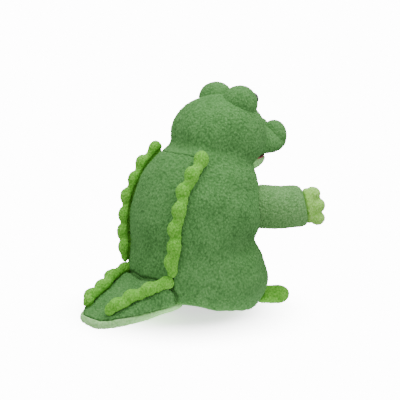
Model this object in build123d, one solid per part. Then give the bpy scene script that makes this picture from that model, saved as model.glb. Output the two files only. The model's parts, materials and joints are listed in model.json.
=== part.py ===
from build123d import *
import math
import os

# Crocodile hand puppet with a moving mouth, sewn from plush round stuffing.
# Millimetres, +Z up. The puppet sits on its hem, feet and tail and faces -Y.
# Shapes are built about the axis of the hand sleeve and moved by origin_shift when they are written,
# so that the origin lies on the ground under the middle of the whole puppet.
origin_shift = -18.5

# cloth, stuffing and room between pieces
plush = 3.0            # thickness of the outer plush
lining = 1.4           # thickness of the lining cloth
board = 1.5            # thickness of the stiff mouth boards
tuck = 0.3             # room between a skin and what it covers
travel_gap = 0.5       # room between bodies that move on each other

# trunk: a round body, its radius given at six heights
base_radius = 74.0
hip_radius = 86.0
hip_height = 44.0
waist_radius = 79.5
waist_height = 86.0
chest_radius = 80.5
chest_height = 118.0
shoulder_radius = 61.0
shoulder_height = 177.0
nape_radius = 44.0
nape_height = 201.0
belly_depth = 66.0     # the belly is flat, this far in front of the sleeve's axis
seam_x = 41.0          # the long seams of the back and belly panels lie this far from the middle
hem_height = 14.0
hem_lift_start = -45.0  # the hem leaves the ground behind this line
hem_lift_angle = 13.0   # and rises by this angle
sleeve_radius = 36.0
sleeve_bottom = 18.0
sleeve_top = 128.0

# neck and head: concentric ball shapes about the neck's pivot
neck_y = -30.0
neck_z = 208.0
neck_radius = 71.5
neck_wall = 13.0
neck_rim_drop = 22.0    # the neck's rim lies this far below the pivot
neck_front_cut = 18.0   # the neck is open in front of this line, measured from the pivot
neck_hole_radius = 33.0
neck_hole_y = -12.0
head_y = -33.6
head_z = 214.0
head_radius = 60.0
head_half_height = 49.0
throat_radius = 27.0
throat_top = 204.0

# snout: three rounded sections, each with its distance from the head's middle, width and height
snout_root_reach = 36.0
snout_root_width = 80.0
snout_root_height = 38.0
snout_mid_reach = 72.0
snout_mid_width = 72.0
snout_mid_height = 28.0
snout_tip_reach = 94.0
snout_tip_width = 46.0
snout_tip_height = 19.0
snout_corner = 8.0
nostril_radius = 17.0
nostril_x = 15.0
nostril_y = -111.0
nostril_z = 205.0

# mouth
mouth_z = 183.2
mouth_back = -50.0
mouth_gap = 0.3         # from the mouth's middle plane to each lining
jaw_length = 55.0
jaw_half_width = 0.6 * head_radius
jaw_depth = 23.0
jaw_swing_gap = 2.0
pocket_half_width = 28.0
pocket_reach = 100.0
pocket_height = 15.0
thumb_half_width = 11.0
thumb_length = 26.0
thumb_height = 8.0

# eyes
eye_mound_radius = 19.5
eye_mound_x = 24.0
eye_mound_y = -57.0
eye_mound_z = 256.0
eye_radius = 7.0
eye_stem_radius = 1.8
eye_stem_length = 9.0
washer_radius = 6.5
washer_thickness = 1.5

# arms: they leave the chest towards the front corners
arm_angle = 51.3        # from straight out to the side, towards the front
arm_z = 127.0
arm_radius = 26.0
arm_stand = 17.0        # the shoulder's pivot stands this far out of the chest
arm_length = 31.0
paw_length = 27.0
paw_radius = arm_radius - 2

# feet
foot_angle = 30.0       # from straight ahead, towards the side
foot_width = 36.0
foot_height = 20.0
foot_length = 38.0
foot_clearance = 2.2
heel_height_share = 0.4  # the trunk's radius at the heel, as a share of the way from base to hip
foot_reach = (base_radius + heel_height_share * (hip_radius - base_radius)
              + foot_clearance + foot_height / 2)      # from the sleeve's axis to the foot's hinge

# tail: four flat-bottomed sections, each with its place, half width and height
tail_root_y = hip_radius - 2
tail_root_z = 28.0
tail_root_radius = 24.5
tail_root_half_width = 46.0
tail_mid_y = 114.0
tail_mid_half_width = 42.0
tail_mid_height = 39.0
tail_low_y = 142.0
tail_low_half_width = 33.0
tail_low_height = 26.0
tail_tip_y = 168.5
tail_tip_half_width = 22.0
tail_tip_height = 13.0
tail_corner = 6.0
tail_seam_height = 17.0

# ridges
lobe_radius = 11.0
lobe_stand = 3.5        # the lobes' middles stand this far off the cloth
ridge_thickness = 13.0
back_lobes = 7
back_ridge_top = 188.0
back_ridge_bottom = 76.0
tail_lobes = 4
tail_ridge_start = 101.0
tail_ridge_end = 155.0
tail_ridge_inset = 7.0  # from the tail's edge to the ridge's middle

big = 600.0             # a size larger than the puppet, for cutting shapes


def mirrored(shape):
    return mirror(shape, about=Plane.YZ)


def sphere_at(radius, x, y, z):
    return Pos(x, y, z) * Sphere(radius)


def slab(low, high, back=big, front=-big):
    """Everything between two heights and two Y planes."""
    return Pos(0, (back + front) / 2, (low + high) / 2) * Box(big, back - front, high - low)


def roller(radius, length, x, y, z):
    """A cylinder that lies along X."""
    return Pos(x, y, z) * Rot(0, 90, 0) * Cylinder(radius, length)


def post(radius, x, y, low, high):
    return Pos(x, y, (low + high) / 2) * Cylinder(radius, high - low)


# ---- trunk ----

def trunk_outline(inset):
    return Spline(
        (base_radius - inset, 0),
        (hip_radius - inset, hip_height),
        (waist_radius - inset, waist_height),
        (chest_radius - inset, chest_height),
        (shoulder_radius - inset, shoulder_height),
        (nape_radius - inset, nape_height),
    )


def trunk_form(inset):
    """The round body with its flat belly, its surface moved inwards by inset."""
    curve = trunk_outline(inset)
    flat = make_face(Curve() + [curve, Polyline(curve @ 1, (0, nape_height), (0, 0), curve @ 0)])
    body = revolve(Plane.XZ * flat, Axis.Z)
    return body & slab(-1, big, front=-(belly_depth - inset))


def under_hem(lift):
    """What lies under the hem line, which is flat in front and rises behind."""
    tilt = Pos(0, hem_lift_start, lift) * Rot(hem_lift_angle, 0, 0) * Pos(0, 0, -big / 2)
    return slab(-big, lift) + tilt * Box(big, big, big)


def arm_place(side):
    """Frame of a shoulder: its x axis runs out along the arm."""
    reach = chest_radius + arm_stand
    across = side * math.cos(math.radians(arm_angle))
    forward = -math.sin(math.radians(arm_angle))
    return Plane(origin=(across * reach, forward * reach, arm_z), x_dir=(across, forward, 0), z_dir=(0, 0, 1))


def trunk_hollows():
    """What the trunk leaves free: neck cup, shoulder sockets and the socket of the tail's root."""
    cup = sphere_at(neck_radius + travel_gap, 0, neck_y, neck_z)
    tail = roller(tail_root_radius + travel_gap, 2 * (tail_root_half_width + 2), 0, tail_root_y, tail_root_z)
    shoulders = [arm_place(side).location * Sphere(arm_radius + travel_gap) for side in (-1, 1)]
    return [cup, tail] + shoulders


def make_trunk():
    outer = trunk_form(0)
    inner = trunk_form(plush + tuck)
    sleeve = post(sleeve_radius + lining + tuck, 0, 0, -1, big)
    hollows = trunk_hollows()
    hem = (outer - under_hem(0)) & under_hem(hem_height)
    for hollow in [sleeve] + hollows:
        hem = hem - hollow
    skin = outer - trunk_form(plush) - under_hem(hem_height + tuck)
    fill = inner - under_hem(hem_height + tuck) - sleeve
    for hollow in hollows:
        skin = skin - hollow
        fill = fill - hollow
    half_gap = tuck / 2
    middle = Box(2 * (seam_x - half_gap), big, big)
    side = Pos(big / 2 + seam_x + half_gap, 0, 0) * Box(big, big, big)
    return {
        "back_panel": skin & middle & slab(-big, big, front=0),
        "belly_panel": skin & middle & slab(-big, big, back=0),
        "left_side_panel": skin & side,
        "right_side_panel": skin & mirrored(side),
        "trunk_fill": fill,
        "hem_band": hem,
        "hand_lining": post(sleeve_radius + lining, 0, 0, sleeve_bottom, sleeve_top)
        - post(sleeve_radius, 0, 0, 0, big),
    }


# ---- ridges ----

def lobed_strip(points):
    """Round lobes side by side, one on each point."""
    strip = Part()
    for point in points:
        strip += roller(lobe_radius, ridge_thickness, point.X, point.Y, point.Z)
    return strip


def back_seam():
    """The long seam of the left side, from the nape down to the hips."""
    curve = trunk_outline(0)
    steps = 12
    heights = [back_ridge_top + (back_ridge_bottom - back_ridge_top) * i / steps for i in range(steps + 1)]
    points = []
    for height in heights:
        crossing = curve.intersect(Line((0, height), (2 * hip_radius, height)))
        radius = crossing.vertices()[0].X
        points.append((seam_x, math.sqrt(radius ** 2 - seam_x ** 2), height))
    return Spline(*points)


def make_back_ridges():
    seam = back_seam()
    points = []
    for i in range(back_lobes):
        tangent = seam % (i / (back_lobes - 1))
        outwards = Vector(0, -tangent.Z, tangent.Y).normalized()
        points.append(seam @ (i / (back_lobes - 1)) + outwards * lobe_stand)
    ridge = lobed_strip(points) - trunk_form(-tuck)
    ridge = ridge - sphere_at(neck_radius + travel_gap, 0, neck_y, neck_z)
    return {"left_back_ridge": ridge, "right_back_ridge": mirrored(ridge)}


# ---- neck ----

def neck_ring(outer_radius, inner_radius, hole_radius):
    """Part of a hollow ball round the pivot, open at the top, at the bottom and in front."""
    ring = sphere_at(outer_radius, 0, neck_y, neck_z) - sphere_at(inner_radius, 0, neck_y, neck_z)
    ring = ring & slab(0, neck_z - neck_rim_drop, front=neck_y - neck_front_cut)
    return ring - post(hole_radius, 0, neck_hole_y, 0, big)


def make_neck():
    inner_radius = neck_radius - neck_wall
    hole = neck_hole_radius + lining + tuck
    cover = neck_ring(neck_radius, neck_radius - plush, hole)
    fill = neck_ring(neck_radius - plush - tuck, inner_radius, hole)
    tube = neck_ring(neck_radius - plush - tuck, inner_radius, neck_hole_radius)
    tube = tube & post(neck_hole_radius + lining, 0, neck_hole_y, 0, big)
    return {"neck_cover": cover, "neck_fill": fill, "neck_lining": tube}


# ---- head ----

def snout_section(reach, width, height, inset):
    bottom = mouth_z + mouth_gap
    high = height - inset
    wide = width - 2 * inset
    section = RectangleRounded(wide, 2 * high, snout_corner)
    place = Plane(origin=(0, head_y - reach, bottom), x_dir=(1, 0, 0), z_dir=(0, -1, 0))
    return place * section


def snout_form(inset):
    """The upper jaw: a rounded block that narrows forwards, flat underneath."""
    block = loft([
        snout_section(snout_root_reach, snout_root_width, snout_root_height, inset),
        snout_section(snout_mid_reach, snout_mid_width, snout_mid_height, inset),
        snout_section(snout_tip_reach - inset, snout_tip_width, snout_tip_height, inset),
    ])
    return block & slab(mouth_z + mouth_gap, big)


def skull_form(inset):
    """The round head, turned from an ellipse about an upright axis."""
    radius = head_radius - inset
    half_height = head_half_height - inset
    curve = EllipticalCenterArc((0, 0), radius, half_height, start_angle=-90, arc_size=180)
    half = make_face(Curve() + [curve, Line(curve @ 1, curve @ 0)])
    return Pos(0, head_y, head_z) * revolve(Plane.XZ * half, Axis.Z)


def head_form(inset):
    return skull_form(inset) + snout_form(inset)


def mouth_room():
    """What the head leaves free for the jaw: the chin's place and the swing of the jaw's back edge."""
    chin = slab(0, mouth_z + mouth_gap, back=mouth_back)
    swing = roller(jaw_depth + jaw_swing_gap, big, 0, mouth_back, mouth_z) & slab(0, mouth_z + mouth_gap)
    return chin + swing


def finger_sleeve(grow):
    """The finger pocket's inside, made larger by grow on every side but its open back."""
    low = mouth_z + mouth_gap + lining + board + tuck + lining - grow
    high = low + pocket_height + 2 * grow
    box = slab(low, high, back=neck_y, front=-(pocket_reach + grow))
    return box & Box(2 * (pocket_half_width + grow), big, big)


def eye_axis(side):
    return Plane(origin=(side * eye_mound_x, eye_mound_y, eye_mound_z), x_dir=(1, 0, 0), z_dir=(0, -1, 0))


def make_eye(side):
    """A domed plastic eye on a stem, and the washer that holds it behind the cloth."""
    surface = eye_mound_radius
    washer_place = surface - eye_stem_length + washer_thickness
    dome = Pos(0, 0, surface - eye_radius * 0.4) * Sphere(eye_radius)
    dome = dome & Pos(0, 0, surface + eye_radius - 1) * Box(4 * eye_radius, 4 * eye_radius, 2 * eye_radius)
    stem_middle = surface - eye_stem_length / 2
    stem = Pos(0, 0, stem_middle) * Cylinder(eye_stem_radius, eye_stem_length)
    ring = Pos(0, 0, washer_place) * Cylinder(washer_radius, washer_thickness)
    ring = ring - Pos(0, 0, washer_place) * Cylinder(eye_stem_radius, 2 * washer_thickness)
    place = eye_axis(side).location
    return place * (dome + stem), place * ring


def make_head():
    bottom = mouth_z + mouth_gap
    shaft = post(throat_radius, 0, neck_y, 0, throat_top)
    mouth = mouth_room()
    nostril = sphere_at(nostril_radius, nostril_x, nostril_y, nostril_z) - head_form(0)
    mound = sphere_at(eye_mound_radius, eye_mound_x, eye_mound_y, eye_mound_z) - skull_form(0)
    nostril = nostril & Pos(big / 2 + tuck / 2, 0, 0) * Box(big, big, big)
    skin = head_form(0) - mouth - shaft - head_form(plush)
    inner = head_form(plush + tuck)
    mouth_floor = slab(0, bottom + lining + board + tuck, back=mouth_back)
    fill = inner - mouth - shaft - mouth_floor - finger_sleeve(lining + tuck)
    palate_plan = inner & slab(bottom, bottom + lining, back=mouth_back - tuck)
    board_plan = inner & slab(bottom + lining, bottom + lining + board, back=mouth_back - tuck)
    seam_y = head_y - snout_root_reach
    parts = {
        "head_cover": skin & slab(0, big, front=seam_y + tuck / 2),
        "snout_cover": skin & slab(0, big, back=seam_y - tuck / 2),
        "head_fill": fill,
        "finger_pocket": finger_sleeve(lining) - finger_sleeve(0) - shaft,
        "palate": palate_plan - shaft,
        "palate_board": board_plan - shaft,
        "left_nostril_mound": nostril,
        "right_nostril_mound": mirrored(nostril),
    }
    for side, name in ((-1, "right"), (1, "left")):
        eye, washer = make_eye(side)
        own_mound = mound if side == 1 else mirrored(mound)
        parts[name + "_eye_mound"] = own_mound - eye - washer
        parts[name + "_eye"] = eye
        parts[name + "_eye_washer"] = washer
    return parts


# ---- jaw ----

def jaw_form(inset):
    """The lower jaw: a quarter of an ellipsoid, flat on top and at the back."""
    sizes = (jaw_half_width - inset, jaw_length - inset, jaw_depth - inset)
    top = mouth_z - mouth_gap
    block = Pos(0, mouth_back, top) * scale(Sphere(1), by=sizes)
    return block & slab(0, top, back=mouth_back)


def thumb_sleeve(grow):
    high = mouth_z - mouth_gap - lining - board - tuck - lining + grow
    low = high - thumb_height - 2 * grow
    box = slab(low, high, back=mouth_back + 1, front=mouth_back - thumb_length - grow)
    return box & Box(2 * (thumb_half_width + grow), big, big)


def make_jaw():
    top = mouth_z - mouth_gap
    inner = jaw_form(plush + tuck)
    fill = (inner & slab(0, top - lining - board - tuck)) - thumb_sleeve(lining + tuck)
    pocket = (thumb_sleeve(lining) - thumb_sleeve(0)) & slab(0, big, back=mouth_back)
    return {
        "jaw_cover": jaw_form(0) - jaw_form(plush),
        "jaw_fill": fill,
        "jaw_lining": inner & slab(top - lining, top),
        "jaw_board": inner & slab(top - lining - board, top - lining),
        "thumb_pocket": pocket,
    }


# ---- arms ----

def arm_form(inset):
    """A stub with a ball root at the shoulder, along +X."""
    radius = arm_radius - inset
    return Sphere(radius) + Pos(arm_length / 2, 0, 0) * Rot(0, 90, 0) * Cylinder(radius, arm_length)


def make_arm(side, name):
    """The paw closes the arm's open end."""
    cut = Pos(arm_length + big / 2, 0, 0) * Box(big, big, big)
    cover = arm_form(0) - arm_form(plush) - cut
    fill = arm_form(plush + tuck) & Pos(arm_length - tuck - big / 2, 0, 0) * Box(big, big, big)
    curve = EllipticalCenterArc((0, 0), paw_length, paw_radius, start_angle=0, arc_size=90)
    half = make_face(Curve() + [curve, Polyline(curve @ 1, (0, 0), curve @ 0)])
    paw = Pos(arm_length + tuck, 0, 0) * revolve(half, Axis.X)
    place = arm_place(side).location
    return {
        name + "_arm_cover": place * cover,
        name + "_arm_fill": place * fill,
        name + "_paw": place * paw,
    }


# ---- feet ----

def foot_form(inset):
    """A flat foot with a round toe, its back edge round about the foot's own hinge."""
    half_height = foot_height / 2
    toe_radius = foot_width / 2
    toe_y = -(foot_reach - half_height + foot_length - toe_radius)
    straight = Pos(0, (toe_y - foot_reach) / 2) * Rectangle(foot_width, -foot_reach - toe_y)
    plan = straight + Pos(0, toe_y) * Circle(toe_radius)
    block = Pos(0, 0, inset) * extrude(offset(plan, -inset), foot_height - 2 * inset)
    heel = roller(half_height - inset, foot_width - 2 * inset, 0, -foot_reach, half_height)
    return Rot(0, 0, foot_angle) * ((block & slab(0, big, back=-foot_reach)) + heel)


def make_feet():
    cover = foot_form(0) - foot_form(plush)
    fill = foot_form(plush + tuck)
    return {
        "left_foot_cover": cover,
        "left_foot_fill": fill,
        "right_foot_cover": mirrored(cover),
        "right_foot_fill": mirrored(fill),
    }


# ---- tail ----

def tail_section(y, half_width, low, high, inset):
    wide = 2 * (half_width - inset)
    tall = high - low - 2 * inset
    place = Plane(origin=(0, y, (low + high) / 2), x_dir=(1, 0, 0), z_dir=(0, -1, 0))
    return place * RectangleRounded(wide, tall, tail_corner - inset)


def tail_form(inset):
    """The tail: a round root in the trunk's socket, then a block that gets lower and narrower."""
    root_low = tail_root_z - tail_root_radius
    root_high = tail_root_z + tail_root_radius
    block = loft([
        tail_section(tail_root_y, tail_root_half_width, root_low, root_high, inset),
        tail_section(tail_mid_y, tail_mid_half_width, 0, tail_mid_height, inset),
        tail_section(tail_low_y, tail_low_half_width, 0, tail_low_height, inset),
        tail_section(tail_tip_y - inset, tail_tip_half_width, 0, tail_tip_height, inset),
    ])
    radius = tail_root_radius - inset
    return block + roller(radius, 2 * (tail_root_half_width - inset), 0, tail_root_y, tail_root_z)


def tail_ridge():
    """Lobes along the left edge of the tail's top, from the root to the tip."""
    points = []
    for i in range(tail_lobes):
        share = i / (tail_lobes - 1)
        y = tail_ridge_start + share * (tail_ridge_end - tail_ridge_start)
        along = (y - tail_mid_y) / (tail_tip_y - tail_mid_y)
        half_width = tail_mid_half_width + along * (tail_tip_half_width - tail_mid_half_width)
        height = tail_mid_height + along * (tail_tip_height - tail_mid_height)
        points.append(Vector(half_width - tail_ridge_inset, y, height + lobe_stand))
    return lobed_strip(points) - tail_form(-tuck)


def make_tail():
    skin = tail_form(0) - tail_form(plush)
    ridge = tail_ridge()
    return {
        "tail_top": skin & slab(tail_seam_height + tuck / 2, big),
        "tail_underside": skin & slab(-big, tail_seam_height - tuck / 2),
        "tail_fill": tail_form(plush + tuck),
        "left_tail_ridge": ridge,
        "right_tail_ridge": mirrored(ridge),
    }


def build_puppet():
    parts = {}
    parts.update(make_trunk())
    parts.update(make_back_ridges())
    parts.update(make_neck())
    parts.update(make_head())
    parts.update(make_jaw())
    parts.update(make_arm(-1, "right"))
    parts.update(make_arm(1, "left"))
    parts.update(make_feet())
    parts.update(make_tail())
    return parts


os.makedirs("parts", exist_ok=True)
for node, shape in build_puppet().items():
    export_step(Pos(0, origin_shift, 0) * shape, f"parts/{node}.step")
    print(node, len(shape.solids()), round(shape.volume))
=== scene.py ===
import json
import math
import bmesh
import bpy
import numpy as np
from mathutils import Matrix, Vector, noise
from mathutils.bvhtree import BVHTree


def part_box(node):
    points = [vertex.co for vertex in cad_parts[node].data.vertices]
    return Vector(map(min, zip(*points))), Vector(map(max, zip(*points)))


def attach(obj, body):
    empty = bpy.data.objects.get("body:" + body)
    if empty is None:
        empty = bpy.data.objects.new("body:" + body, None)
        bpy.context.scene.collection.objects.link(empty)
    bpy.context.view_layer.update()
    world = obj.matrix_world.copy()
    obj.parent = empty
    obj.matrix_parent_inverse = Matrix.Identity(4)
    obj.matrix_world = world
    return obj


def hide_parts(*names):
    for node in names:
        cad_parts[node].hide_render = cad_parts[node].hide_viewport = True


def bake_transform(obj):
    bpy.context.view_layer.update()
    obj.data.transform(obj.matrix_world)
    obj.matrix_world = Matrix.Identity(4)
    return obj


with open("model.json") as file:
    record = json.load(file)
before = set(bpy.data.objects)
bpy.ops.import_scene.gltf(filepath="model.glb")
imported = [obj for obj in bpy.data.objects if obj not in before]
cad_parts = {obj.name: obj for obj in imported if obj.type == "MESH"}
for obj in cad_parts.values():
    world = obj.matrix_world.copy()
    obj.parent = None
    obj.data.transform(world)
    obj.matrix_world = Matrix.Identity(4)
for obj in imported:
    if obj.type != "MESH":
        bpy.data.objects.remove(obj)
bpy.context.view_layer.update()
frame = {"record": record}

mm = 0.001
sleeveLow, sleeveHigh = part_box("hand_lining")
trunkY = (sleeveLow[1] + sleeveHigh[1]) / 2 / mm   # the sleeve's axis, in mm
toFrame = Matrix.Translation((0, trunkY * mm, 0)) @ Matrix.Scale(mm, 4)


def place(x, y, z):
    # mm about the sleeve's axis to metres in the frame
    return toFrame @ Vector((x, y, z))


def joint(name):
    return next(j for j in frame["record"]["behaviour"]["joints"] if j["name"] == name)


# materials

def toLinear(colour):
    channels = [int(colour[i:i + 2], 16) / 255 for i in (1, 3, 5)]
    return tuple(c / 12.92 if c <= 0.04045 else ((c + 0.055) / 1.055) ** 2.4 for c in channels) + (1.0,)


def addNode(tree, kind, settings=(), values=(), links=()):
    # settings are the node's own, values go on its sockets, links join a socket to (node, output)
    node = tree.nodes.new(kind)
    for name, value in dict(settings).items():
        setattr(node, name, value)
    for name, value in dict(values).items():
        node.inputs[name].default_value = value
    for name, (source, output) in dict(links).items():
        tree.links.new(source.outputs[output], node.inputs[name])
    return node


def newMaterial(name):
    material = bpy.data.materials.new(name)
    material.use_nodes = True
    material.node_tree.nodes.clear()
    return material


def plushMaterial(name, deep, middle, tips, sheen):
    # knitted polyester plush with a 3 mm cut pile: tufts lean and clump; the colour ramp paints light on the
    # tufts' crests and shade at their roots
    material = newMaterial(name)
    tree = material.node_tree
    coords = addNode(tree, "ShaderNodeTexCoord")
    pile = addNode(tree, "ShaderNodeAttribute", {"attribute_name": "pile"})
    foldAndShade = addNode(tree, "ShaderNodeAttribute", {"attribute_name": "foldAndShade"})
    fibre = addNode(tree, "ShaderNodeTexNoise", {}, {"Scale": 480.0, "Detail": 3.0, "Roughness": 0.7},
                    {"Vector": (coords, "Object")})          # 2 mm bundles of fibre
    nap = addNode(tree, "ShaderNodeTexNoise", {}, {"Scale": 45.0, "Detail": 2.0, "Roughness": 0.5},
                  {"Vector": (coords, "Object")})            # 22 mm patches where the pile was stroked
    pilePart = addNode(tree, "ShaderNodeMath", {"operation": "MULTIPLY_ADD"}, {1: 0.38, 2: 0.0},
                       {0: (pile, "Fac")})
    fibrePart = addNode(tree, "ShaderNodeMath", {"operation": "MULTIPLY_ADD"}, {1: 0.68},
                        {0: (fibre, "Fac"), 2: (pilePart, "Value")})
    height = addNode(tree, "ShaderNodeMath", {"operation": "MULTIPLY_ADD"}, {1: 0.3},
                     {0: (nap, "Fac"), 2: (fibrePart, "Value")})
    # painted shade and highlight: the ramp darkens the pile's valleys and lightens its crests
    ramp = addNode(tree, "ShaderNodeValToRGB", {}, {}, {"Fac": (height, "Value")})
    ramp.color_ramp.elements[0].position = 0.36
    ramp.color_ramp.elements[0].color = toLinear(deep)
    ramp.color_ramp.elements[1].position = 0.92
    ramp.color_ramp.elements[1].color = toLinear(tips)
    ramp.color_ramp.elements.new(0.62).color = toLinear(middle)
    shade = addNode(tree, "ShaderNodeMix", {"data_type": "RGBA", "blend_type": "MULTIPLY"}, {},
                    {"Factor": (foldAndShade, "Fac"), 6: (ramp, "Color")})
    shade.inputs[7].default_value = (0.55, 0.62, 0.5, 1)    # painted shade along seams and creases, where the pile is pressed together
    bump = addNode(tree, "ShaderNodeBump", {}, {"Strength": 0.55, "Distance": 0.0012},
                   {"Height": (height, "Value")})
    shader = addNode(tree, "ShaderNodeBsdfPrincipled", {},
                     {"Roughness": 0.92, "Sheen Weight": sheen, "Sheen Roughness": 0.35,
                      "Sheen Tint": toLinear(tips), "Specular IOR Level": 0.15},
                     {"Base Color": (shade, 2), "Normal": (bump, "Normal")})
    addNode(tree, "ShaderNodeOutputMaterial", {}, {}, {"Surface": (shader, "BSDF")})
    return material


waveTurn = 6.283        # a wave texture of scale 1 has a band every 1 / 6.283 of a unit


def clothMaterial(name, low, high, thread):
    # plain woven or knitted cloth: rows of thread a little lighter on their crowns
    material = newMaterial(name)
    tree = material.node_tree
    coords = addNode(tree, "ShaderNodeTexCoord")
    rows = [addNode(tree, "ShaderNodeTexWave", {"wave_type": "BANDS", "bands_direction": axis},
                    {"Scale": 1 / (thread * mm) / waveTurn, "Distortion": 0.6, "Detail": 1.0},
                    {"Vector": (coords, "Object")}) for axis in ("X", "Y")]
    weave = addNode(tree, "ShaderNodeMath", {"operation": "MULTIPLY"}, {},
                    {0: (rows[0], "Fac"), 1: (rows[1], "Fac")})
    ramp = addNode(tree, "ShaderNodeValToRGB", {}, {}, {"Fac": (weave, "Value")})
    ramp.color_ramp.elements[0].color = toLinear(low)
    ramp.color_ramp.elements[1].color = toLinear(high)
    bump = addNode(tree, "ShaderNodeBump", {}, {"Strength": 0.4, "Distance": 0.0004},
                   {"Height": (weave, "Value")})
    shader = addNode(tree, "ShaderNodeBsdfPrincipled", {}, {"Roughness": 0.85, "Sheen Weight": 0.1},
                     {"Base Color": (ramp, "Color"), "Normal": (bump, "Normal")})
    addNode(tree, "ShaderNodeOutputMaterial", {}, {}, {"Surface": (shader, "BSDF")})
    return material


def mouldedMaterial(name, low, high, rough, coat):
    # injection moulded plastic: even colour with a faint cloud, and fine orange peel
    material = newMaterial(name)
    tree = material.node_tree
    coords = addNode(tree, "ShaderNodeTexCoord")
    cloud = addNode(tree, "ShaderNodeTexNoise", {}, {"Scale": 120.0, "Detail": 2.0},
                    {"Vector": (coords, "Object")})
    ramp = addNode(tree, "ShaderNodeValToRGB", {}, {}, {"Fac": (cloud, "Fac")})
    ramp.color_ramp.elements[0].color = toLinear(low)
    ramp.color_ramp.elements[1].color = toLinear(high)
    bump = addNode(tree, "ShaderNodeBump", {}, {"Strength": 0.05, "Distance": 0.0002},
                   {"Height": (cloud, "Fac")})
    shader = addNode(tree, "ShaderNodeBsdfPrincipled", {},
                     {"Roughness": rough, "IOR": 1.49, "Coat Weight": coat},
                     {"Base Color": (ramp, "Color"), "Normal": (bump, "Normal")})
    addNode(tree, "ShaderNodeOutputMaterial", {}, {}, {"Surface": (shader, "BSDF")})
    return material


greenPlush = plushMaterial("darkGreenCutPlush", "#386530", "#4f8345", "#6a9f5d", 0.2)
mintPlush = plushMaterial("mintCutPlush", "#84ca72", "#9edc88", "#bcf0a8", 0.12)
limePlush = plushMaterial("limeCutPlush", "#469022", "#66b238", "#8ad058", 0.15)
# the paws' plush is a lighter copy of the lime plush: partly a paler cloth, partly painted light where the
# paws catch more light
palePlush = plushMaterial("paleLimeCutPlush", "#74b844", "#92d05a", "#b2e482", 0.15)
# the arms' plush is a lighter copy of the body's green plush: painted light where the arms catch more light
armPlush = plushMaterial("lighterLitGreenCutPlush", "#507f44", "#679a59", "#81b26f", 0.2)
liningCloth = clothMaterial("wovenPolyesterLining", "#3c6237", "#557f4d", 0.6)
mouthCloth = clothMaterial("knittedMouthLining", "#8f2f38", "#bf4a52", 0.9)
feltBoard = clothMaterial("pressedFeltBoard", "#b9b3a4", "#d6d0c2", 1.2)
eyePlastic = mouldedMaterial("mouldedGlossAcrylic", "#0b0a09", "#15120f", 0.12, 0.6)
washerPlastic = mouldedMaterial("mouldedPolyethylene", "#d9d9d3", "#e8e8e4", 0.45, 0.0)
print("materials made")


# mesh helpers

def newObject(name, bm):
    mesh = bpy.data.meshes.new(name)
    bm.to_mesh(mesh)
    bm.free()
    piece = bpy.data.objects.new(name, mesh)
    bpy.context.scene.collection.objects.link(piece)
    return piece


def applyModifiers(piece):
    depsgraph = bpy.context.evaluated_depsgraph_get()
    depsgraph.update()
    mesh = bpy.data.meshes.new_from_object(piece.evaluated_get(depsgraph), preserve_all_data_layers=True,
                                           depsgraph=depsgraph)
    piece.modifiers.clear()
    old = piece.data
    piece.data = mesh
    bpy.data.meshes.remove(old)
    return piece


def addBall(bm, centre, radii):
    shape = Matrix.Translation(centre) @ Matrix.Diagonal((*radii, 1))
    return bmesh.ops.create_uvsphere(bm, u_segments=48, v_segments=28, radius=1, matrix=shape)["verts"]


def cutAway(bm, verts, point, normal):
    # removes what lies behind a plane from some of the mesh, and closes the cut
    faces = {f for v in verts for f in v.link_faces}
    edges = {e for v in verts for e in v.link_edges}
    geometry = list(verts) + list(edges) + list(faces)
    cut = bmesh.ops.bisect_plane(bm, geom=geometry, plane_co=point, plane_no=normal,
                                  clear_inner=True, dist=1e-5)
    rim = [e for e in cut["geom_cut"] if isinstance(e, bmesh.types.BMEdge)]
    bmesh.ops.holes_fill(bm, edges=rim, sides=0)
    return [v for v in cut["geom"] if isinstance(v, bmesh.types.BMVert) and v.is_valid]


def addSpun(bm, outline, steps=72):
    # outline is (radius, height) from the axis below to the axis above
    verts = [bm.verts.new((radius, 0, height)) for radius, height in outline]
    edges = [bm.edges.new(pair) for pair in zip(verts, verts[1:])]
    bmesh.ops.spin(bm, geom=verts + edges, axis=(0, 0, 1), cent=(0, 0, 0), angle=2 * math.pi, steps=steps,
                   use_merge=True)
    bmesh.ops.remove_doubles(bm, verts=bm.verts, dist=1e-4)
    bmesh.ops.recalc_face_normals(bm, faces=bm.faces)
    return list(bm.verts)


def fuse(piece, voxel, smoothing):
    # joins overlapping closed shapes into one skin
    piece.data.transform(toFrame)
    remesh = piece.modifiers.new("fuse", "REMESH")
    remesh.mode = "VOXEL"
    remesh.voxel_size = voxel * mm
    smooth = piece.modifiers.new("smooth", "SMOOTH")
    smooth.iterations = smoothing
    return applyModifiers(piece)


def coordinates(mesh):
    flat = np.empty(len(mesh.vertices) * 3, np.float64)
    mesh.vertices.foreach_get("co", flat)
    return flat.reshape(-1, 3)


def normals(mesh):
    flat = np.empty(len(mesh.vertices) * 3, np.float32)
    mesh.vertex_normals.foreach_get("vector", flat)
    return flat.reshape(-1, 3).astype(np.float64)


def setCoordinates(mesh, points):
    mesh.vertices.foreach_set("co", points.astype(np.float32).ravel())
    mesh.update()


def pointValues(mesh, name, values=None):
    # reads a float attribute of the points, or writes it
    layer = mesh.attributes.get(name) or mesh.attributes.new(name, "FLOAT", "POINT")
    if values is not None:
        layer.data.foreach_set("value", np.asarray(values, np.float32))
        return values
    found = np.empty(len(mesh.vertices), np.float32)
    layer.data.foreach_get("value", found)
    return found


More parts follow.
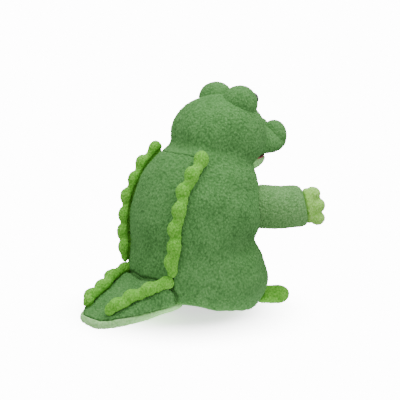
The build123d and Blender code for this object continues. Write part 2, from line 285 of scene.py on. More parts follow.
def inflate(piece, pinned, pressure, frames, cap):
    # cloth simulation: stuffing presses the cloth out between its sewn lines
    before = coordinates(piece.data)
    group = piece.vertex_groups.new(name="sewn")
    group.add([int(i) for i in np.nonzero(pinned > 0.5)[0]], 1.0, "REPLACE")
    cloth = piece.modifiers.new("stuffed", "CLOTH")
    cloth.settings.vertex_group_mass = "sewn"
    cloth.settings.use_pressure = True
    cloth.settings.uniform_pressure_force = pressure
    cloth.settings.effector_weights.gravity = 0
    cloth.settings.quality = 4
    cloth.settings.mass = 0.3
    cloth.settings.tension_stiffness = 15
    cloth.settings.compression_stiffness = 15
    cloth.settings.bending_stiffness = 0.5
    cloth.collision_settings.use_collision = False
    cloth.point_cache.frame_start = 1
    cloth.point_cache.frame_end = frames
    for step in range(1, frames + 1):
        bpy.context.scene.frame_set(step)
    applyModifiers(piece)
    bpy.context.scene.frame_set(1)
    after = coordinates(piece.data)
    moved = after - before
    length = np.linalg.norm(moved, axis=1, keepdims=True)
    moved *= np.minimum(1, cap * mm / np.maximum(length, 1e-9))
    setCoordinates(piece.data, before + moved)
    piece.vertex_groups.clear()


def subdivide(piece, levels):
    subsurf = piece.modifiers.new("fine", "SUBSURF")
    subsurf.levels = levels
    subsurf.render_levels = levels
    return applyModifiers(piece)


puckerSize = 6          # mm between the puckers along a sewn line
fibreSize = 1.6         # mm, the grain of the fibre in a tuft
tuftStretch = 0.75      # tufts are longer than wide, because the pile hangs down


def growPile(piece, look):
    # lumps of stuffing, sewn lines drawn in with puckers, then tufts of pile
    mesh = piece.data
    points = coordinates(mesh)
    outwards = normals(mesh)
    foldAndShade = np.clip(pointValues(mesh, "foldAndShade"), 0, 1)
    lump = np.array([noise.noise(Vector(p) / (look["lump"] * mm)) for p in points])
    pucker = np.array([noise.noise(Vector(p) / (puckerSize * mm)) for p in points])
    tuft = np.array([noise.voronoi(Vector((p[0], p[1], p[2] * tuftStretch)) / (look["tuft"] * mm))[0][0]
                     for p in points])
    fine = np.array([noise.noise(Vector(p) / (fibreSize * mm)) for p in points])
    pile = np.clip(1.05 - 1.15 * tuft + 0.25 * fine, 0, 1)
    shift = lump * look["lumpHeight"]
    gathered = pucker * look["pucker"] * np.clip(foldAndShade * 2, 0, 1) * (1 - foldAndShade)
    shift = shift - foldAndShade ** 2 * look["seamDepth"] + gathered
    shift = shift + (pile - 0.6) * look["pile"] * (1 - 0.5 * foldAndShade)
    setCoordinates(mesh, points + outwards * shift[:, None] * mm)
    pointValues(mesh, "pile", pile)
    pointValues(mesh, "foldAndShade", foldAndShade ** 2)
    for polygon in mesh.polygons:
        polygon.use_smooth = True


def markSeams(piece, panelOf):
    # gives every face its panel, and marks the points where panels meet, for the seam's depth and its painted
    # shade
    bm = bmesh.new()
    bm.from_mesh(piece.data)
    layer = bm.verts.layers.float.get("foldAndShade") or bm.verts.layers.float.new("foldAndShade")
    for face in bm.faces:
        face.material_index = panelOf(face.calc_center_median())
    sewn = np.zeros(len(bm.verts))
    for i, vert in enumerate(bm.verts):
        if len({f.material_index for f in vert.link_faces}) > 1:
            vert[layer] = 1.0
            sewn[i] = 1.0
    bm.to_mesh(piece.data)
    bm.free()
    return sewn


def takePanel(source, index, name, tuckIn=2.5):
    # one panel of a finished skin, its edges turned in at the seams
    bm = bmesh.new()
    bm.from_mesh(source.data)
    others = [f for f in bm.faces if f.material_index != index]
    bmesh.ops.delete(bm, geom=others, context="FACES")
    rim = [e for e in bm.edges if e.is_boundary]
    inwards = {v: -v.normal.copy() for e in rim for v in e.verts}
    turned = bmesh.ops.extrude_edge_only(bm, edges=rim)["geom"]
    for vert in [v for v in turned if isinstance(v, bmesh.types.BMVert)]:
        partner = next(e.other_vert(vert) for e in vert.link_edges if e.other_vert(vert) in inwards)
        vert.co += inwards[partner] * tuckIn * mm
    for face in bm.faces:
        face.material_index = 0
    return newObject(name, bm)


def dress(piece, material, body=None, blend=None, nodes=()):
    # finish of a piece: material, what it rides on and what it stands for; a piece given a blend rides on
    # nothing and is only baked in place
    piece.data.materials.clear()
    piece.data.materials.append(material)
    if blend:
        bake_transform(piece)
    else:
        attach(piece, body)
    if nodes:
        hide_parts(*nodes)
    return piece


def mirrorPiece(piece, name):
    bm = bmesh.new()
    bm.from_mesh(piece.data)
    bmesh.ops.scale(bm, vec=(-1, 1, 1), verts=bm.verts)
    bmesh.ops.reverse_faces(bm, faces=bm.faces)
    return newObject(name, bm)


plushLook = {"lump": 36, "lumpHeight": 2.4, "seamDepth": 2.6, "pucker": 1.4, "tuft": 2.3, "pile": 1.0}
smallLook = {"lump": 16, "lumpHeight": 0.7, "seamDepth": 1.6, "pucker": 0.7, "tuft": 2.0, "pile": 0.8}


# camera, lights and floor

cameraSet = {"azimuth": 231.0, "elevation": 12.5, "lens": 120.0, "width": 488.0,
             "aimHeight": 134.9, "aimRight": 3.7}


def makeCamera(look):
    azimuth = math.radians(look["azimuth"])
    elevation = math.radians(look["elevation"])
    back = Vector((math.sin(azimuth) * math.cos(elevation), -math.cos(azimuth) * math.cos(elevation),
                   math.sin(elevation)))
    right = Vector((math.cos(azimuth), math.sin(azimuth), 0))
    data = bpy.data.cameras.new("camera")
    data.lens = look["lens"]
    distance = look["width"] * mm * look["lens"] / data.sensor_width
    aim = place(0, 0, look["aimHeight"]) + right * look["aimRight"] * mm
    camera = bpy.data.objects.new("camera", data)
    bpy.context.scene.collection.objects.link(camera)
    camera.location = aim + back * distance
    camera.rotation_mode = "QUATERNION"
    camera.rotation_quaternion = (-back).to_track_quat("-Z", "Y")
    bpy.context.scene.camera = camera
    return back, right


def makeLight(name, spot, aim, power, size):
    data = bpy.data.lights.new(name, "AREA")
    data.energy = power
    data.size = size
    lamp = bpy.data.objects.new(name, data)
    lamp.location = spot
    lamp.rotation_mode = "QUATERNION"
    lamp.rotation_quaternion = (aim - spot).to_track_quat("-Z", "Y")
    bpy.context.scene.collection.objects.link(lamp)


back, right = makeCamera(cameraSet)
up = Vector((0, 0, 1))
centre = place(0, 0, 120)
makeLight("keySoftbox", centre + back * 0.9 - right * 0.9 + up * 1.3, centre, 14, 1.2)
makeLight("fillSoftbox", centre + back * 0.8 + right * 1.3 + up * 0.5, centre, 7, 1.4)
makeLight("topSoftbox", centre + right * 0.3 + up * 1.6, centre, 25, 1.2)


def makeBackdrop():
    # an even pale room, with a white card that is brightly lit behind the puppet
    world = bpy.data.worlds.new("paleRoom")
    world.use_nodes = True
    tree = world.node_tree
    tree.nodes.clear()
    coords = addNode(tree, "ShaderNodeTexCoord")
    towards = addNode(tree, "ShaderNodeVectorMath", {"operation": "DOT_PRODUCT"}, {1: tuple(-back)},
                      {0: (coords, "Object")})
    card = addNode(tree, "ShaderNodeMapRange", {"interpolation_type": "SMOOTHSTEP"},
                   {"From Min": 0.963, "From Max": 0.975, "To Min": 0.7, "To Max": 14.0},
                   {"Value": (towards, "Value")})
    light = addNode(tree, "ShaderNodeBackground", {}, {"Color": (1, 1, 1, 1)}, {"Strength": (card, "Result")})
    addNode(tree, "ShaderNodeOutputWorld", {}, {}, {"Surface": (light, "Background")})
    bpy.context.scene.world = world


def makeFloor():
    # white paper that fades out round the puppet, and glows: painted light from the paper itself
    bm = bmesh.new()
    bmesh.ops.create_circle(bm, cap_ends=True, segments=64, radius=0.45)
    floor = newObject("studioFloor", bm)
    paper = newMaterial("glowingWhiteStudioPaper")
    tree = paper.node_tree
    coords = addNode(tree, "ShaderNodeTexCoord")
    distance = addNode(tree, "ShaderNodeVectorMath", {"operation": "LENGTH"}, {}, {0: (coords, "Object")})
    fade = addNode(tree, "ShaderNodeMapRange", {"interpolation_type": "SMOOTHSTEP"},
                   {"From Min": 0.05, "From Max": 0.17, "To Min": 0.0, "To Max": 1.0},
                   {"Value": (distance, "Value")})
    white = addNode(tree, "ShaderNodeBsdfPrincipled", {},
                    {"Base Color": (0.97, 0.97, 0.97, 1), "Roughness": 0.9, "Specular IOR Level": 0.1,
                     "Emission Color": (1, 1, 1, 1), "Emission Strength": 1.4})
    clear = addNode(tree, "ShaderNodeBsdfTransparent")
    mixed = addNode(tree, "ShaderNodeMixShader", {}, {},
                    {0: (fade, "Result"), 1: (white, "BSDF"), 2: (clear, "BSDF")})
    addNode(tree, "ShaderNodeOutputMaterial", {}, {}, {"Surface": (mixed, "Shader")})
    floor.data.materials.append(paper)


makeBackdrop()
makeFloor()
print("camera and lights made")


# body skin: trunk, neck, head and snout are sewn as one skin

bodyShape = {
    "trunk": [(0, 0.3), (66, 0.3), (73, 3), (79, 12), (83.5, 26), (85.5, 44), (82.5, 64), (79, 86),
              (79.5, 104), (79.5, 122), (76, 144), (68, 165), (58.5, 181), (49, 193), (39, 200),
              (20, 204), (0, 205)],
    "bellyDepth": 64, "seamX": 45, "hemHeight": 14,
    "hemStart": -45, "hemAngle": 13.0, "sleeve": 37.0,
    "creaseY": 40, "creaseZ": 200, "creaseSlope": 0.35,
    "neck": ((0, -17, 168), (55, 45, 46)),
    "jawBack": ((0, -14, 188), (54, 42, 30)),
    "skull": ((0, -33.6, 214), (59, 58.5, 48)),
    "snouts": [((0, -84, 196), (40, 40, 25)), ((0, -104, 195), (33, 27, 19))],
    "snoutSeam": -69.6, "mouthZ": 185.0, "mouthRise": 0.14, "mouthHinge": -60,
    "throatBack": -30, "throatDrop": 3, "neckTop": 158,
    "corner": (0.625, -0.78),       # from the sleeve's axis towards an arm
    # height, reach and depth of the waist and the bulges over and under it
    "corners": [(88, 14, -10.0), (130, 20, 3.5), (176, 18, 6.0), (38, 20, 3.0)],
    "backs": [(100, 45, 4.0)],
}
hemTilt = math.radians(bodyShape["hemAngle"])
hemNormal = Vector((0, -math.sin(hemTilt), math.cos(hemTilt)))
creaseNormal = Vector((0, -bodyShape["creaseSlope"], 1)).normalized()
creasePoint = place(0, bodyShape["creaseY"], bodyShape["creaseZ"])


def buildBody():
    bm = bmesh.new()
    trunk = addSpun(bm, bodyShape["trunk"])
    cutAway(bm, trunk, (0, bodyShape["hemStart"], 0), hemNormal)
    addBall(bm, *bodyShape["neck"])
    addBall(bm, *bodyShape["jawBack"])
    skull = addBall(bm, *bodyShape["skull"])
    cutAway(bm, skull, (0, 0, bodyShape["mouthZ"]), (0, 0, 1))
    for middle, radii in bodyShape["snouts"]:
        snout = addBall(bm, middle, radii)
        cutAway(bm, snout, (0, bodyShape["mouthHinge"], bodyShape["mouthZ"]), (0, bodyShape["mouthRise"], 1))
    return newObject("bodySkin", bm)


def shapeBody(piece):
    # the waist under the arms, the bulges over and under it, the round back and the flat belly
    local = coordinates(piece.data) / mm - np.array([0, trunkY, 0])
    radius = np.maximum(np.hypot(local[:, 0], local[:, 1]), 1)
    corner = (np.abs(local[:, 0]) * bodyShape["corner"][0] + local[:, 1] * bodyShape["corner"][1]) / radius
    for key, towards in (("corners", corner), ("backs", local[:, 1] / radius)):
        share = np.clip((towards - 0.25) / 0.6, 0, 1)
        share = share * share * (3 - 2 * share)
        for height, reach, depth in bodyShape[key]:
            grow = depth * share * np.exp(-((local[:, 2] - height) / reach) ** 2) * np.clip(radius / 60, 0, 1)
            local[:, :2] *= (1 + grow / radius)[:, None]
    depth = bodyShape["bellyDepth"]
    flat = (local[:, 1] < -depth) & (local[:, 2] < bodyShape["neckTop"])
    local[flat, 1] = -depth + 0.2 * (local[flat, 1] + depth)
    setCoordinates(piece.data, (local + np.array([0, trunkY, 0])) * mm)


# how far from its line a crease is changed, how deep and how dark with painted shade it stays at nape and
# cheek, and at the hem
creaseShape = {"near": 3, "nape": 0.75, "cheekLoss": 0.6, "front": 30, "hem": 0.3}


def softenCrease(piece):
    # the nape is creased, and the crease fades out round the cheeks
    points = coordinates(piece.data)
    foldAndShade = pointValues(piece.data, "foldAndShade")
    offset = (points - np.array(creasePoint)) @ np.array(creaseNormal) / mm
    near = creaseShape["near"]
    front = np.clip((creaseShape["front"] - (points[:, 1] / mm - trunkY)) / creaseShape["front"], 0, 1)
    kept = creaseShape["nape"] - creaseShape["cheekLoss"] * front
    foldAndShade = np.where(np.abs(offset) < near, foldAndShade * kept, foldAndShade)
    hemPoint = np.array(place(0, bodyShape["hemStart"], 0))
    hem = np.minimum(points[:, 2], (points - hemPoint) @ np.array(hemNormal)) / mm
    foldAndShade = np.where(np.abs(hem - bodyShape["hemHeight"]) < near, foldAndShade * creaseShape["hem"], foldAndShade)
    pointValues(piece.data, "foldAndShade", foldAndShade)


def bodyPanel(point):
    # 0 back, 1 right side, 2 left side, 3 belly, 4 hem, 5 underside, 6 head, 7 snout, 8 throat
    p = toFrame.inverted() @ Vector(point)
    aboveCrease = (Vector(point) - creasePoint).dot(creaseNormal) / mm
    if aboveCrease > 0:
        inThroat = p.z < bodyShape["mouthZ"] - bodyShape["throatDrop"] and p.y < bodyShape["throatBack"]
        if inThroat and abs(p.x) < bodyShape["seamX"]:
            return 8
        return 7 if p.y < bodyShape["snoutSeam"] and p.z > 170 else 6
    overHem = min(p.z, (p - Vector((0, bodyShape["hemStart"], 0))).dot(hemNormal))
    if overHem < 2.0 and math.hypot(p.x, p.y) < 70:
        return 5
    if overHem < bodyShape["hemHeight"]:
        return 4
    if abs(p.x) < bodyShape["seamX"]:
        return 0 if p.y > 0 else 3
    return 1 if p.x < 0 else 2


def cutSeamLines(piece):
    # puts an edge along every seam, so that panels end on clean lines
    bm = bmesh.new()
    bm.from_mesh(piece.data)
    seam = bodyShape["seamX"]
    hem = bodyShape["hemHeight"]
    lines = [(place(seam, 0, 0), (1, 0, 0)), (place(-seam, 0, 0), (1, 0, 0)),
             (creasePoint, creaseNormal), (place(0, bodyShape["snoutSeam"], 0), (0, 1, 0)),
             (place(0, 0, bodyShape["mouthZ"] - bodyShape["throatDrop"]), (0, 0, 1)),
             (place(0, bodyShape["throatBack"], 0), (0, 1, 0)), (place(0, 0, hem), (0, 0, 1)),
             (place(0, bodyShape["hemStart"], 0) + hemNormal * hem * mm, hemNormal)]
    for point, normal in lines:
        bmesh.ops.bisect_plane(bm, geom=bm.verts[:] + bm.edges[:] + bm.faces[:], plane_co=point,
                               plane_no=normal, dist=0.6 * mm)
    bmesh.ops.remove_doubles(bm, verts=bm.verts, dist=0.5 * mm)
    bm.to_mesh(piece.data)
    bm.free()


body = fuse(buildBody(), voxel=4.5, smoothing=5)
shapeBody(body)
cutSeamLines(body)
sewn = markSeams(body, bodyPanel)
softenCrease(body)
heightOf = coordinates(body.data)[:, 2] / mm
pins = np.where(heightOf < 3, 1, sewn)
inflate(body, pins, pressure=3.0, frames=14, cap=5)
print("body skin sewn", len(body.data.vertices))


# arms: a stub with a round shoulder, drawn in at the wrist, and a paw of lobes

armShape = {
    "outline": [(0, -38), (14, -37), (23, -32), (26.5, -22), (26.6, -8), (26.3, 6), (26.2, 18),
                (25.6, 27), (22.5, 33), (13, 35.5), (0, 36)],
    "palm": ((36, 0, 0), (12, 15, 22.5)),
    "toes": [((47, 0, 16), (9.5, 10.5, 8.6)), ((50.5, 0, 1), (9.5, 11.5, 9.4)),
             ((47, 0, -14.5), (9.5, 10.5, 9))],
    "lean": 0.2, "leanFrom": 12, "leanRun": 20,
}


def armFrame(side):
    # an arm's matrix, whose X runs out along the arm from the shoulder's pivot
    hinge = joint(side + "_arm_raise")
    pivot = Vector(hinge["pos_m"])
    raiseAxis = Vector(hinge["axis"])
    along = Vector((0, 0, 1)).cross(raiseAxis).normalized()
    across = Vector((0, 0, 1)).cross(along)
    return Matrix.Translation(pivot) @ Matrix((along, across, (0, 0, 1))).transposed().to_4x4(), pivot, along


rightArmFrame, rightPivot, rightAlong = armFrame("right")
leftPivot, leftAlong = armFrame("left")[1:]


def makeArm():
    bm = bmesh.new()
    verts = addSpun(bm, armShape["outline"], 48)
    bmesh.ops.rotate(bm, verts=verts, cent=(0, 0, 0), matrix=Matrix.Rotation(math.pi / 2, 3, "Y"))
    bmesh.ops.recalc_face_normals(bm, faces=bm.faces)
    for vert in verts:
        share = min(1, max(0, vert.co.x - armShape["leanFrom"]) / armShape["leanRun"])
        vert.co.x -= armShape["lean"] * vert.co.z * share
    bmesh.ops.transform(bm, matrix=toFrame.inverted() @ rightArmFrame @ Matrix.Scale(mm, 4), verts=bm.verts)
    return fuse(newObject("armSkin", bm), voxel=3.2, smoothing=3)


def makePaw():
    bm = bmesh.new()
    for centre, radii in [armShape["palm"]] + armShape["toes"]:
        lean = (centre[0] - armShape["lean"] * centre[2], centre[1], centre[2])
        addBall(bm, lean, radii)
    bmesh.ops.transform(bm, matrix=toFrame.inverted() @ rightArmFrame @ Matrix.Scale(mm, 4), verts=bm.verts)
    return fuse(newObject("pawSkin", bm), voxel=2.0, smoothing=3)


arm = makeArm()
paw = makePaw()


# feet: a flat pad with a round toe

footShape = {"turn": 30, "height": 11.2, "heel": (84, (18, 14, 10.2)), "sole": (92, (19, 17, 10.6)),
             "toe": (101, (19, 16, 10.8))}


def footSpot(reach, sign=-1):
    # a point on the middle line of a foot; the right foot has sign -1
    turn = math.radians(footShape["turn"])
    return Vector((sign * math.sin(turn) * reach, -math.cos(turn) * reach, footShape["height"]))


def makeFoot():
    bm = bmesh.new()
    for part in ("heel", "sole", "toe"):
        reach, radii = footShape[part]
        verts = addBall(bm, (0, 0, 0), radii)
        turn = Matrix.Rotation(-math.radians(footShape["turn"]), 3, "Z")
        bmesh.ops.rotate(bm, verts=verts, cent=(0, 0, 0), matrix=turn)
        bmesh.ops.translate(bm, verts=verts, vec=footSpot(reach))
    return fuse(newObject("footSkin", bm), voxel=2.2, smoothing=5)


foot = makeFoot()


# tail: rings from inside the hips to the tip, flat on the ground

tailShape = {
    "rings": [(48, 40, 13, 46), (66, 46, 10, 52), (84, 47, 7.5, 53), (100, 44.5, 5.5, 46), (116, 41, 4.5, 39),
              (132, 36, 4, 32), (147, 30, 4, 25.5), (158, 24, 4.5, 20), (164.5, 16, 6.5, 15.5)],
    "seamY": 110, "seamHeight": 22.0, "seamSlope": 0.08,
    "square": 0.32, "squareBelow": 0.5,
}


def makeTail():
    bm = bmesh.new()
    loops = []
    for y, halfWidth, low, high in tailShape["rings"]:
        shape = Matrix.Translation((0, y, (low + high) / 2)) @ Matrix.Rotation(math.pi / 2, 4, "X")
        shape = shape @ Matrix.Diagonal((halfWidth, (high - low) / 2, 1, 1))
        ring = bmesh.ops.create_circle(bm, segments=48, radius=1, matrix=shape)["verts"]
        for vert in ring:               # squarer than an ellipse, and more so above, so the edges stand up
            dx = vert.co.x / halfWidth
            dz = (vert.co.z - (low + high) / 2) / ((high - low) / 2)
            stretch = 1 + tailShape["square"] * abs(dx * dz) * (1 if dz > 0 else tailShape["squareBelow"])
            vert.co.x *= stretch
            vert.co.z = (low + high) / 2 + dz * stretch * (high - low) / 2
        loops.append({e for v in ring for e in v.link_edges})
    for first, second in zip(loops, loops[1:]):
        bmesh.ops.bridge_loops(bm, edges=list(first | second))
    bmesh.ops.holes_fill(bm, edges=[e for e in bm.edges if e.is_boundary], sides=0)
    bmesh.ops.recalc_face_normals(bm, faces=bm.faces)
    return fuse(newObject("tailSkin", bm), voxel=3.4, smoothing=6)


def tailPanel(point):
    # 0 top, 1 underside
    p = toFrame.inverted() @ Vector(point)
    seam = tailShape["seamHeight"] - tailShape["seamSlope"] * (p.y - tailShape["seamY"])
    return 0 if p.z > seam else 1


tail = makeTail()
bm = bmesh.new()
bm.from_mesh(tail.data)
seamNormal = Vector((0, tailShape["seamSlope"], 1)).normalized()
bmesh.ops.bisect_plane(bm, geom=bm.verts[:] + bm.edges[:] + bm.faces[:], plane_no=seamNormal, dist=0.5 * mm,
                       plane_co=place(0, tailShape["seamY"], tailShape["seamHeight"]))
bmesh.ops.remove_doubles(bm, verts=bm.verts, dist=0.4 * mm)
bm.to_mesh(tail.data)
bm.free()
tailSewn = markSeams(tail, tailPanel)
inflate(tail, tailSewn, pressure=3.0, frames=12, cap=3)
print("arms, feet and tail formed")


# head pieces: eye mounds, nostril mounds and jaw

headShape = {
    "eyeMound": ((-22.5, -48.5, 251.5), (22, 22, 22.5)),
    "nostril": ((-15, -111.4, 204.6), (16.5, 16.5, 20.5)),
    "jaw": ((0, -49, 182), (35.5, 54.5, 22)),
}


def makeBallSkin(name, centre, radii, voxel):
    bm = bmesh.new()
    addBall(bm, centre, radii)
    return fuse(newObject(name, bm), voxel, 2)


def makeJaw():
    centre, radii = headShape["jaw"]
    bm = bmesh.new()
    verts = addBall(bm, centre, radii)
    verts = cutAway(bm, verts, (0, 0, centre[2]), (0, 0, -1))
    return fuse(newObject("jawSkin", bm), voxel=2.4, smoothing=3)


eyeMound = makeBallSkin("eyeMoundSkin", *headShape["eyeMound"], 2.4)
nostril = makeBallSkin("nostrilSkin", *headShape["nostril"], 2.4)
jaw = makeJaw()
print("head pieces formed")


# ridges: soft strips of lobes, sewn in the long seams and along the tail's edges

ridgeShape = {
    "pitch": 20.0, "lobe": (7.6, 9.8, 11.6), "neck": (6.2, 7.6, 9.0), "stand": 7.0, "sway": 1.2,
    "top": 188, "bottom": 58, "bow": 5, "bowHeight": 125, "bowReach": 50,
    "tailStart": 79, "tailEnd": 151, "tailX": 42, "tailTipX": 20, "tailLobe": (7.6, 11.6, 8.8),
}
castFrom = {"behind": 200, "above": 120}      # mm, where the rays that find the skins start


def stepAlong(samples, pitch):
    # points a fixed distance apart along a run of (spot, normal)
    chosen = [samples[0]]
    travelled = 0.0
    for before, after in zip(samples, samples[1:]):
        travelled += (after[0] - before[0]).length
        if travelled >= pitch * mm:
            chosen.append(after)
            travelled = 0.0
    return chosen


def treeOf(piece, mirrored=False):
    bm = bmesh.new()
    bm.from_mesh(piece.data)
    if mirrored:
        bmesh.ops.scale(bm, vec=(-1, 1, 1), verts=bm.verts)
    tree = BVHTree.FromBMesh(bm)
    bm.free()
    return tree


def makeRidge(name, samples, lobe):
    spots = stepAlong(samples, ridgeShape["pitch"] / 2)
    bm = bmesh.new()
    for i, (spot, normal) in enumerate(spots):
        radii = lobe if i % 2 == 0 else ridgeShape["neck"]
        outwards = Vector((0, normal.y, normal.z)).normalized()
        stand = ridgeShape["stand"] * (1 if i % 2 == 0 else 0.5)
        middle = toFrame.inverted() @ (spot + outwards * stand * mm)
        middle.x += ridgeShape["sway"] * (1 if i % 4 == 0 else -1 if i % 4 == 2 else 0)
        addBall(bm, middle, radii)
    return fuse(newObject(name, bm), voxel=1.8, smoothing=3)


bodyTree = treeOf(body)
tailTree = treeOf(tail)
backRun = []
for z in range(ridgeShape["top"], ridgeShape["bottom"], -1):
    bow = ridgeShape["bow"] * math.exp(-((z - ridgeShape["bowHeight"]) / ridgeShape["bowReach"]) ** 2)
    start = place(-bodyShape["seamX"] - bow, castFrom["behind"], z)
    backRun.append(bodyTree.ray_cast(start, Vector((0, -1, 0)))[:2])
tailRun = []
for y in range(ridgeShape["tailStart"], ridgeShape["tailEnd"]):
    share = (y - ridgeShape["tailStart"]) / (ridgeShape["tailEnd"] - ridgeShape["tailStart"])
    x = ridgeShape["tailX"] + share * (ridgeShape["tailTipX"] - ridgeShape["tailX"])
    tailRun.append(tailTree.ray_cast(place(-x, y, castFrom["above"]), Vector((0, 0, -1)))[:2])
backRidge = makeRidge("backRidgeSkin", backRun, ridgeShape["lobe"])
tailRidge = makeRidge("tailRidgeSkin", tailRun, ridgeShape["tailLobe"])
print("ridges formed", len(backRun), len(tailRun))


# finish: where skins meet they are drawn in and darkened with painted shade, then the pile grows

def drawIn(piece, trees, width):
    # a seam where this skin meets another one: drawn in, and darkened with painted shade
    points = coordinates(piece.data)
    foldAndShade = pointValues(piece.data, "foldAndShade")
    for tree in trees:
        for i, point in enumerate(points):
            found = tree.find_nearest(Vector(point), width * 2 * mm)
            if found[0] is not None:
                foldAndShade[i] = max(foldAndShade[i], math.exp(-(found[3] / (width * mm)) ** 2))
    pointValues(piece.data, "foldAndShade", foldAndShade)


armTree = treeOf(arm)
joinedTrees = [armTree, treeOf(arm, mirrored=True), tailTree]
subdivide(body, 2)
drawIn(body, joinedTrees, width=3.5)
growPile(body, plushLook)
for piece, levels, look, trees in ((arm, 2, plushLook, []), (paw, 1, smallLook, [armTree]),
                                   (foot, 1, smallLook, [bodyTree]), (tail, 2, plushLook, [bodyTree]),
                                   (eyeMound, 1, smallLook, []), (nostril, 1, smallLook, []),
                                   (jaw, 1, smallLook, []), (backRidge, 1, smallLook, [bodyTree]),
                                   (tailRidge, 1, smallLook, [tailTree])):
    subdivide(piece, levels)
    drawIn(piece, trees, width=3.0)
    growPile(piece, look)
print("pile grown", len(body.data.vertices))


# points at the joints, in mm, passed with the pieces that cross a joint
bends = {"belowCrease": 13, "aboveCrease": 30, "tail": (66, 96), "tailHeight": 28, "jaw": (-46, -62),
         "jawHeight": 180, "arm": (-17, 6), "foot": (78, 94)}
toNeck = ("trunk", "neck", creasePoint - creaseNormal * bends["belowCrease"] * mm, creasePoint)
toHead = ("neck", "head", creasePoint, creasePoint + creaseNormal * bends["aboveCrease"] * mm)
panels = {
    "backPanel": (0, greenPlush, "green_plush", toNeck, ("back_panel", "trunk_fill")),
    "rightSidePanel": (1, greenPlush, "green_plush", toNeck, ("right_side_panel",)),
    "leftSidePanel": (2, greenPlush, "green_plush", toNeck, ("left_side_panel",)),
    "bellyPanel": (3, mintPlush, "mint_plush", toNeck, ("belly_panel",)),
    "hemBand": (4, greenPlush, "hem_plush", None, ("hem_band",)),
    "headCover": (6, greenPlush, "green_plush", toHead,
                  ("head_cover", "head_fill", "neck_cover", "neck_fill")),
    "snoutCover": (7, greenPlush, "green_plush", None, ("snout_cover",)),
    "throatPanel": (8, mintPlush, "mint_plush", toHead, ()),
}
for name, (index, material, slot, bend, nodes) in panels.items():
    panel = takePanel(body, index, name)
    rider = "trunk" if name == "hemBand" else "head"
    dress(panel, material, rider, bend, nodes)
print("body panels cut")

tailBend = ("trunk", "tail", *(place(0, y, bends["tailHeight"]) for y in bends["tail"]))
jawBend = ("head", "jaw", *(place(0, y, bends["jawHeight"]) for y in bends["jaw"]))
dress(takePanel(tail, 0, "tailTop"), greenPlush,
      blend=tailBend, nodes=("tail_top", "tail_fill"))
dress(takePanel(tail, 1, "tailUnderside"), mintPlush,
      blend=tailBend, nodes=("tail_underside",))
dress(takePanel(jaw, 0, "jawCover"), mintPlush,
      blend=jawBend, nodes=("jaw_cover", "jaw_fill"))
for side, sign in (("right", 1), ("left", -1)):
    pivot, along = (rightPivot, rightAlong) if side == "right" else (leftPivot, leftAlong)
    armBend = ("trunk", side + "_arm", *(pivot + along * reach * mm for reach in bends["arm"]))
    footBend = ("trunk", side + "_foot", *(place(*footSpot(reach, -sign)) for reach in bends["foot"]))
    # source skin, name, material, slot, body that it rides on, or bend, nodes that it stands for, fill
    pairs = (
        (arm, "ArmCover", armPlush, "green_plush", None, armBend, ("_arm_cover", "_arm_fill"), 0.8),
        (paw, "Paw", palePlush, "lime_plush", side + "_arm", None, ("_paw",), 0.7),
        (foot, "Foot", limePlush, "lime_plush", None, footBend, ("_foot_cover", "_foot_fill"), 0.7),
        (eyeMound, "EyeMound", greenPlush, "green_plush", "head", None, ("_eye_mound",), 0.9),
        (nostril, "NostrilMound", greenPlush, "green_plush", "head", None, ("_nostril_mound",), 0.9),
        (backRidge, "BackRidge", limePlush, "lime_plush", None, toNeck, ("_back_ridge",), 0.7),
        (tailRidge, "TailRidge", limePlush, "lime_plush", None, tailBend, ("_tail_ridge",), 0.7),
    )
    for source, part, material, slot, rider, bend, nodes, fill in pairs:
        name = side + part
        piece = takePanel(source, 0, name) if side == "right" else mirrorPiece(source, name)
        dress(piece, material, rider, bend, [side + node for node in nodes])


# eyes

eyeShape = {"radius": 7.2, "depth": 4.6, "back": 1.5, "x": 24, "y": -69.8, "z": 256}


def makeEye(side, sign):
    bm = bmesh.new()
    verts = addBall(bm, (0, 0, 0), (eyeShape["radius"], eyeShape["depth"], eyeShape["radius"]))
    cutAway(bm, verts, (0, eyeShape["back"], 0), (0, -1, 0))
    bmesh.ops.translate(bm, vec=(eyeShape["x"] * sign, eyeShape["y"], eyeShape["z"]), verts=bm.verts)
    bmesh.ops.transform(bm, matrix=toFrame, verts=bm.verts)
    for face in bm.faces:
        face.smooth = True
    eye = newObject(side + "Eye", bm)
    dress(eye, eyePlastic, "head", None, (side + "_eye",))


makeEye("right", -1)
makeEye("left", 1)


# hand sleeve and the cloth round it

sleeveShape = {
    "outline": [(36.4, -2), (36.4, 100), (35, 126), (31, 146), (26, 164), (16, 176), (0, 180)],
    "lean": 0.35, "leanFrom": 126, "cloth": 1.4, "rim": 0.6,
}


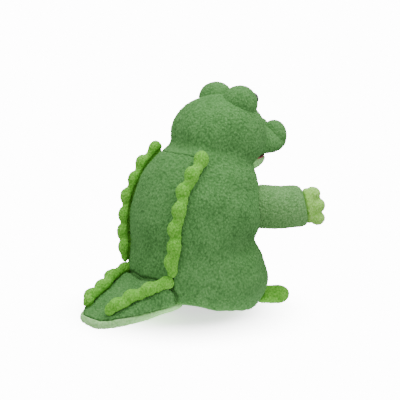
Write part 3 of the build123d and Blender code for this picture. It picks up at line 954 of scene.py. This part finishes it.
def makeSleeve():
    bm = bmesh.new()
    verts = addSpun(bm, sleeveShape["outline"], 64)
    bmesh.ops.reverse_faces(bm, faces=bm.faces)
    for vert in verts:
        vert.co.y -= max(0, vert.co.z - sleeveShape["leanFrom"]) * sleeveShape["lean"]
    rim = sleeveShape["rim"]
    for point, normal in (((0, 0, rim), (0, 0, 1)), ((0, bodyShape["hemStart"], rim), hemNormal)):
        bmesh.ops.bisect_plane(bm, geom=bm.verts[:] + bm.edges[:] + bm.faces[:], plane_co=point,
                               plane_no=normal, clear_inner=True, dist=1e-4)
    bmesh.ops.transform(bm, matrix=toFrame, verts=bm.verts)
    for face in bm.faces:
        face.smooth = True
    sleeve = newObject("handSleeve", bm)
    wall = sleeve.modifiers.new("cloth", "SOLIDIFY")
    wall.thickness = sleeveShape["cloth"] * mm
    wall.offset = 1
    applyModifiers(sleeve)
    dress(sleeve, liningCloth, "trunk", None, ("hand_lining", "neck_lining"))


makeSleeve()
underside = takePanel(body, 5, "hemUnderside", tuckIn=0.5)
bm = bmesh.new()
bm.from_mesh(underside.data)
overHand = [v for v in bm.verts if math.hypot(v.co.x, v.co.y - trunkY * mm) < bodyShape["sleeve"] * mm]
bmesh.ops.delete(bm, geom=overHand, context="VERTS")
bm.to_mesh(underside.data)
bm.free()
dress(underside, greenPlush, "trunk")
for source in (body, arm, paw, foot, tail, eyeMound, nostril, jaw, backRidge, tailRidge):
    bpy.data.objects.remove(source)
print("sleeve and small pieces made")


# CAD pieces that keep their shape

# shares of the CAD palate's width and of its length before the hinge, and how far it is lifted in mm
palateShape = {"width": 0.78, "length": 0.88, "lift": 1.2}


def fitPalate(node, name, material):
    # the palate follows the rounded snout: smaller than in the CAD and rising with the mouth's line
    hinge = bodyShape["mouthHinge"]
    bm = bmesh.new()
    bm.from_mesh(bpy.data.objects[node].data)
    bmesh.ops.transform(bm, matrix=toFrame.inverted() @ bpy.data.objects[node].matrix_world, verts=bm.verts)
    for vert in bm.verts:
        vert.co.x *= palateShape["width"]
        vert.co.y = hinge + (vert.co.y - hinge) * (palateShape["length"] if vert.co.y < hinge else 1)
        vert.co.z += palateShape["lift"] + bodyShape["mouthRise"] * max(0, hinge - vert.co.y)
    bmesh.ops.transform(bm, matrix=toFrame, verts=bm.verts)
    dress(newObject(name, bm), material, "head", None, (node,))


fitPalate("palate", "palateLining", mouthCloth)
fitPalate("palate_board", "palateFelt", feltBoard)
kept = {"jaw_lining": mouthCloth, "jaw_board": feltBoard,
        "finger_pocket": liningCloth, "thumb_pocket": liningCloth,
        "right_eye_washer": washerPlastic, "left_eye_washer": washerPlastic}
for node, material in kept.items():
    cadPiece = bpy.data.objects[node]
    cadPiece.data.materials.clear()
    cadPiece.data.materials.append(material)
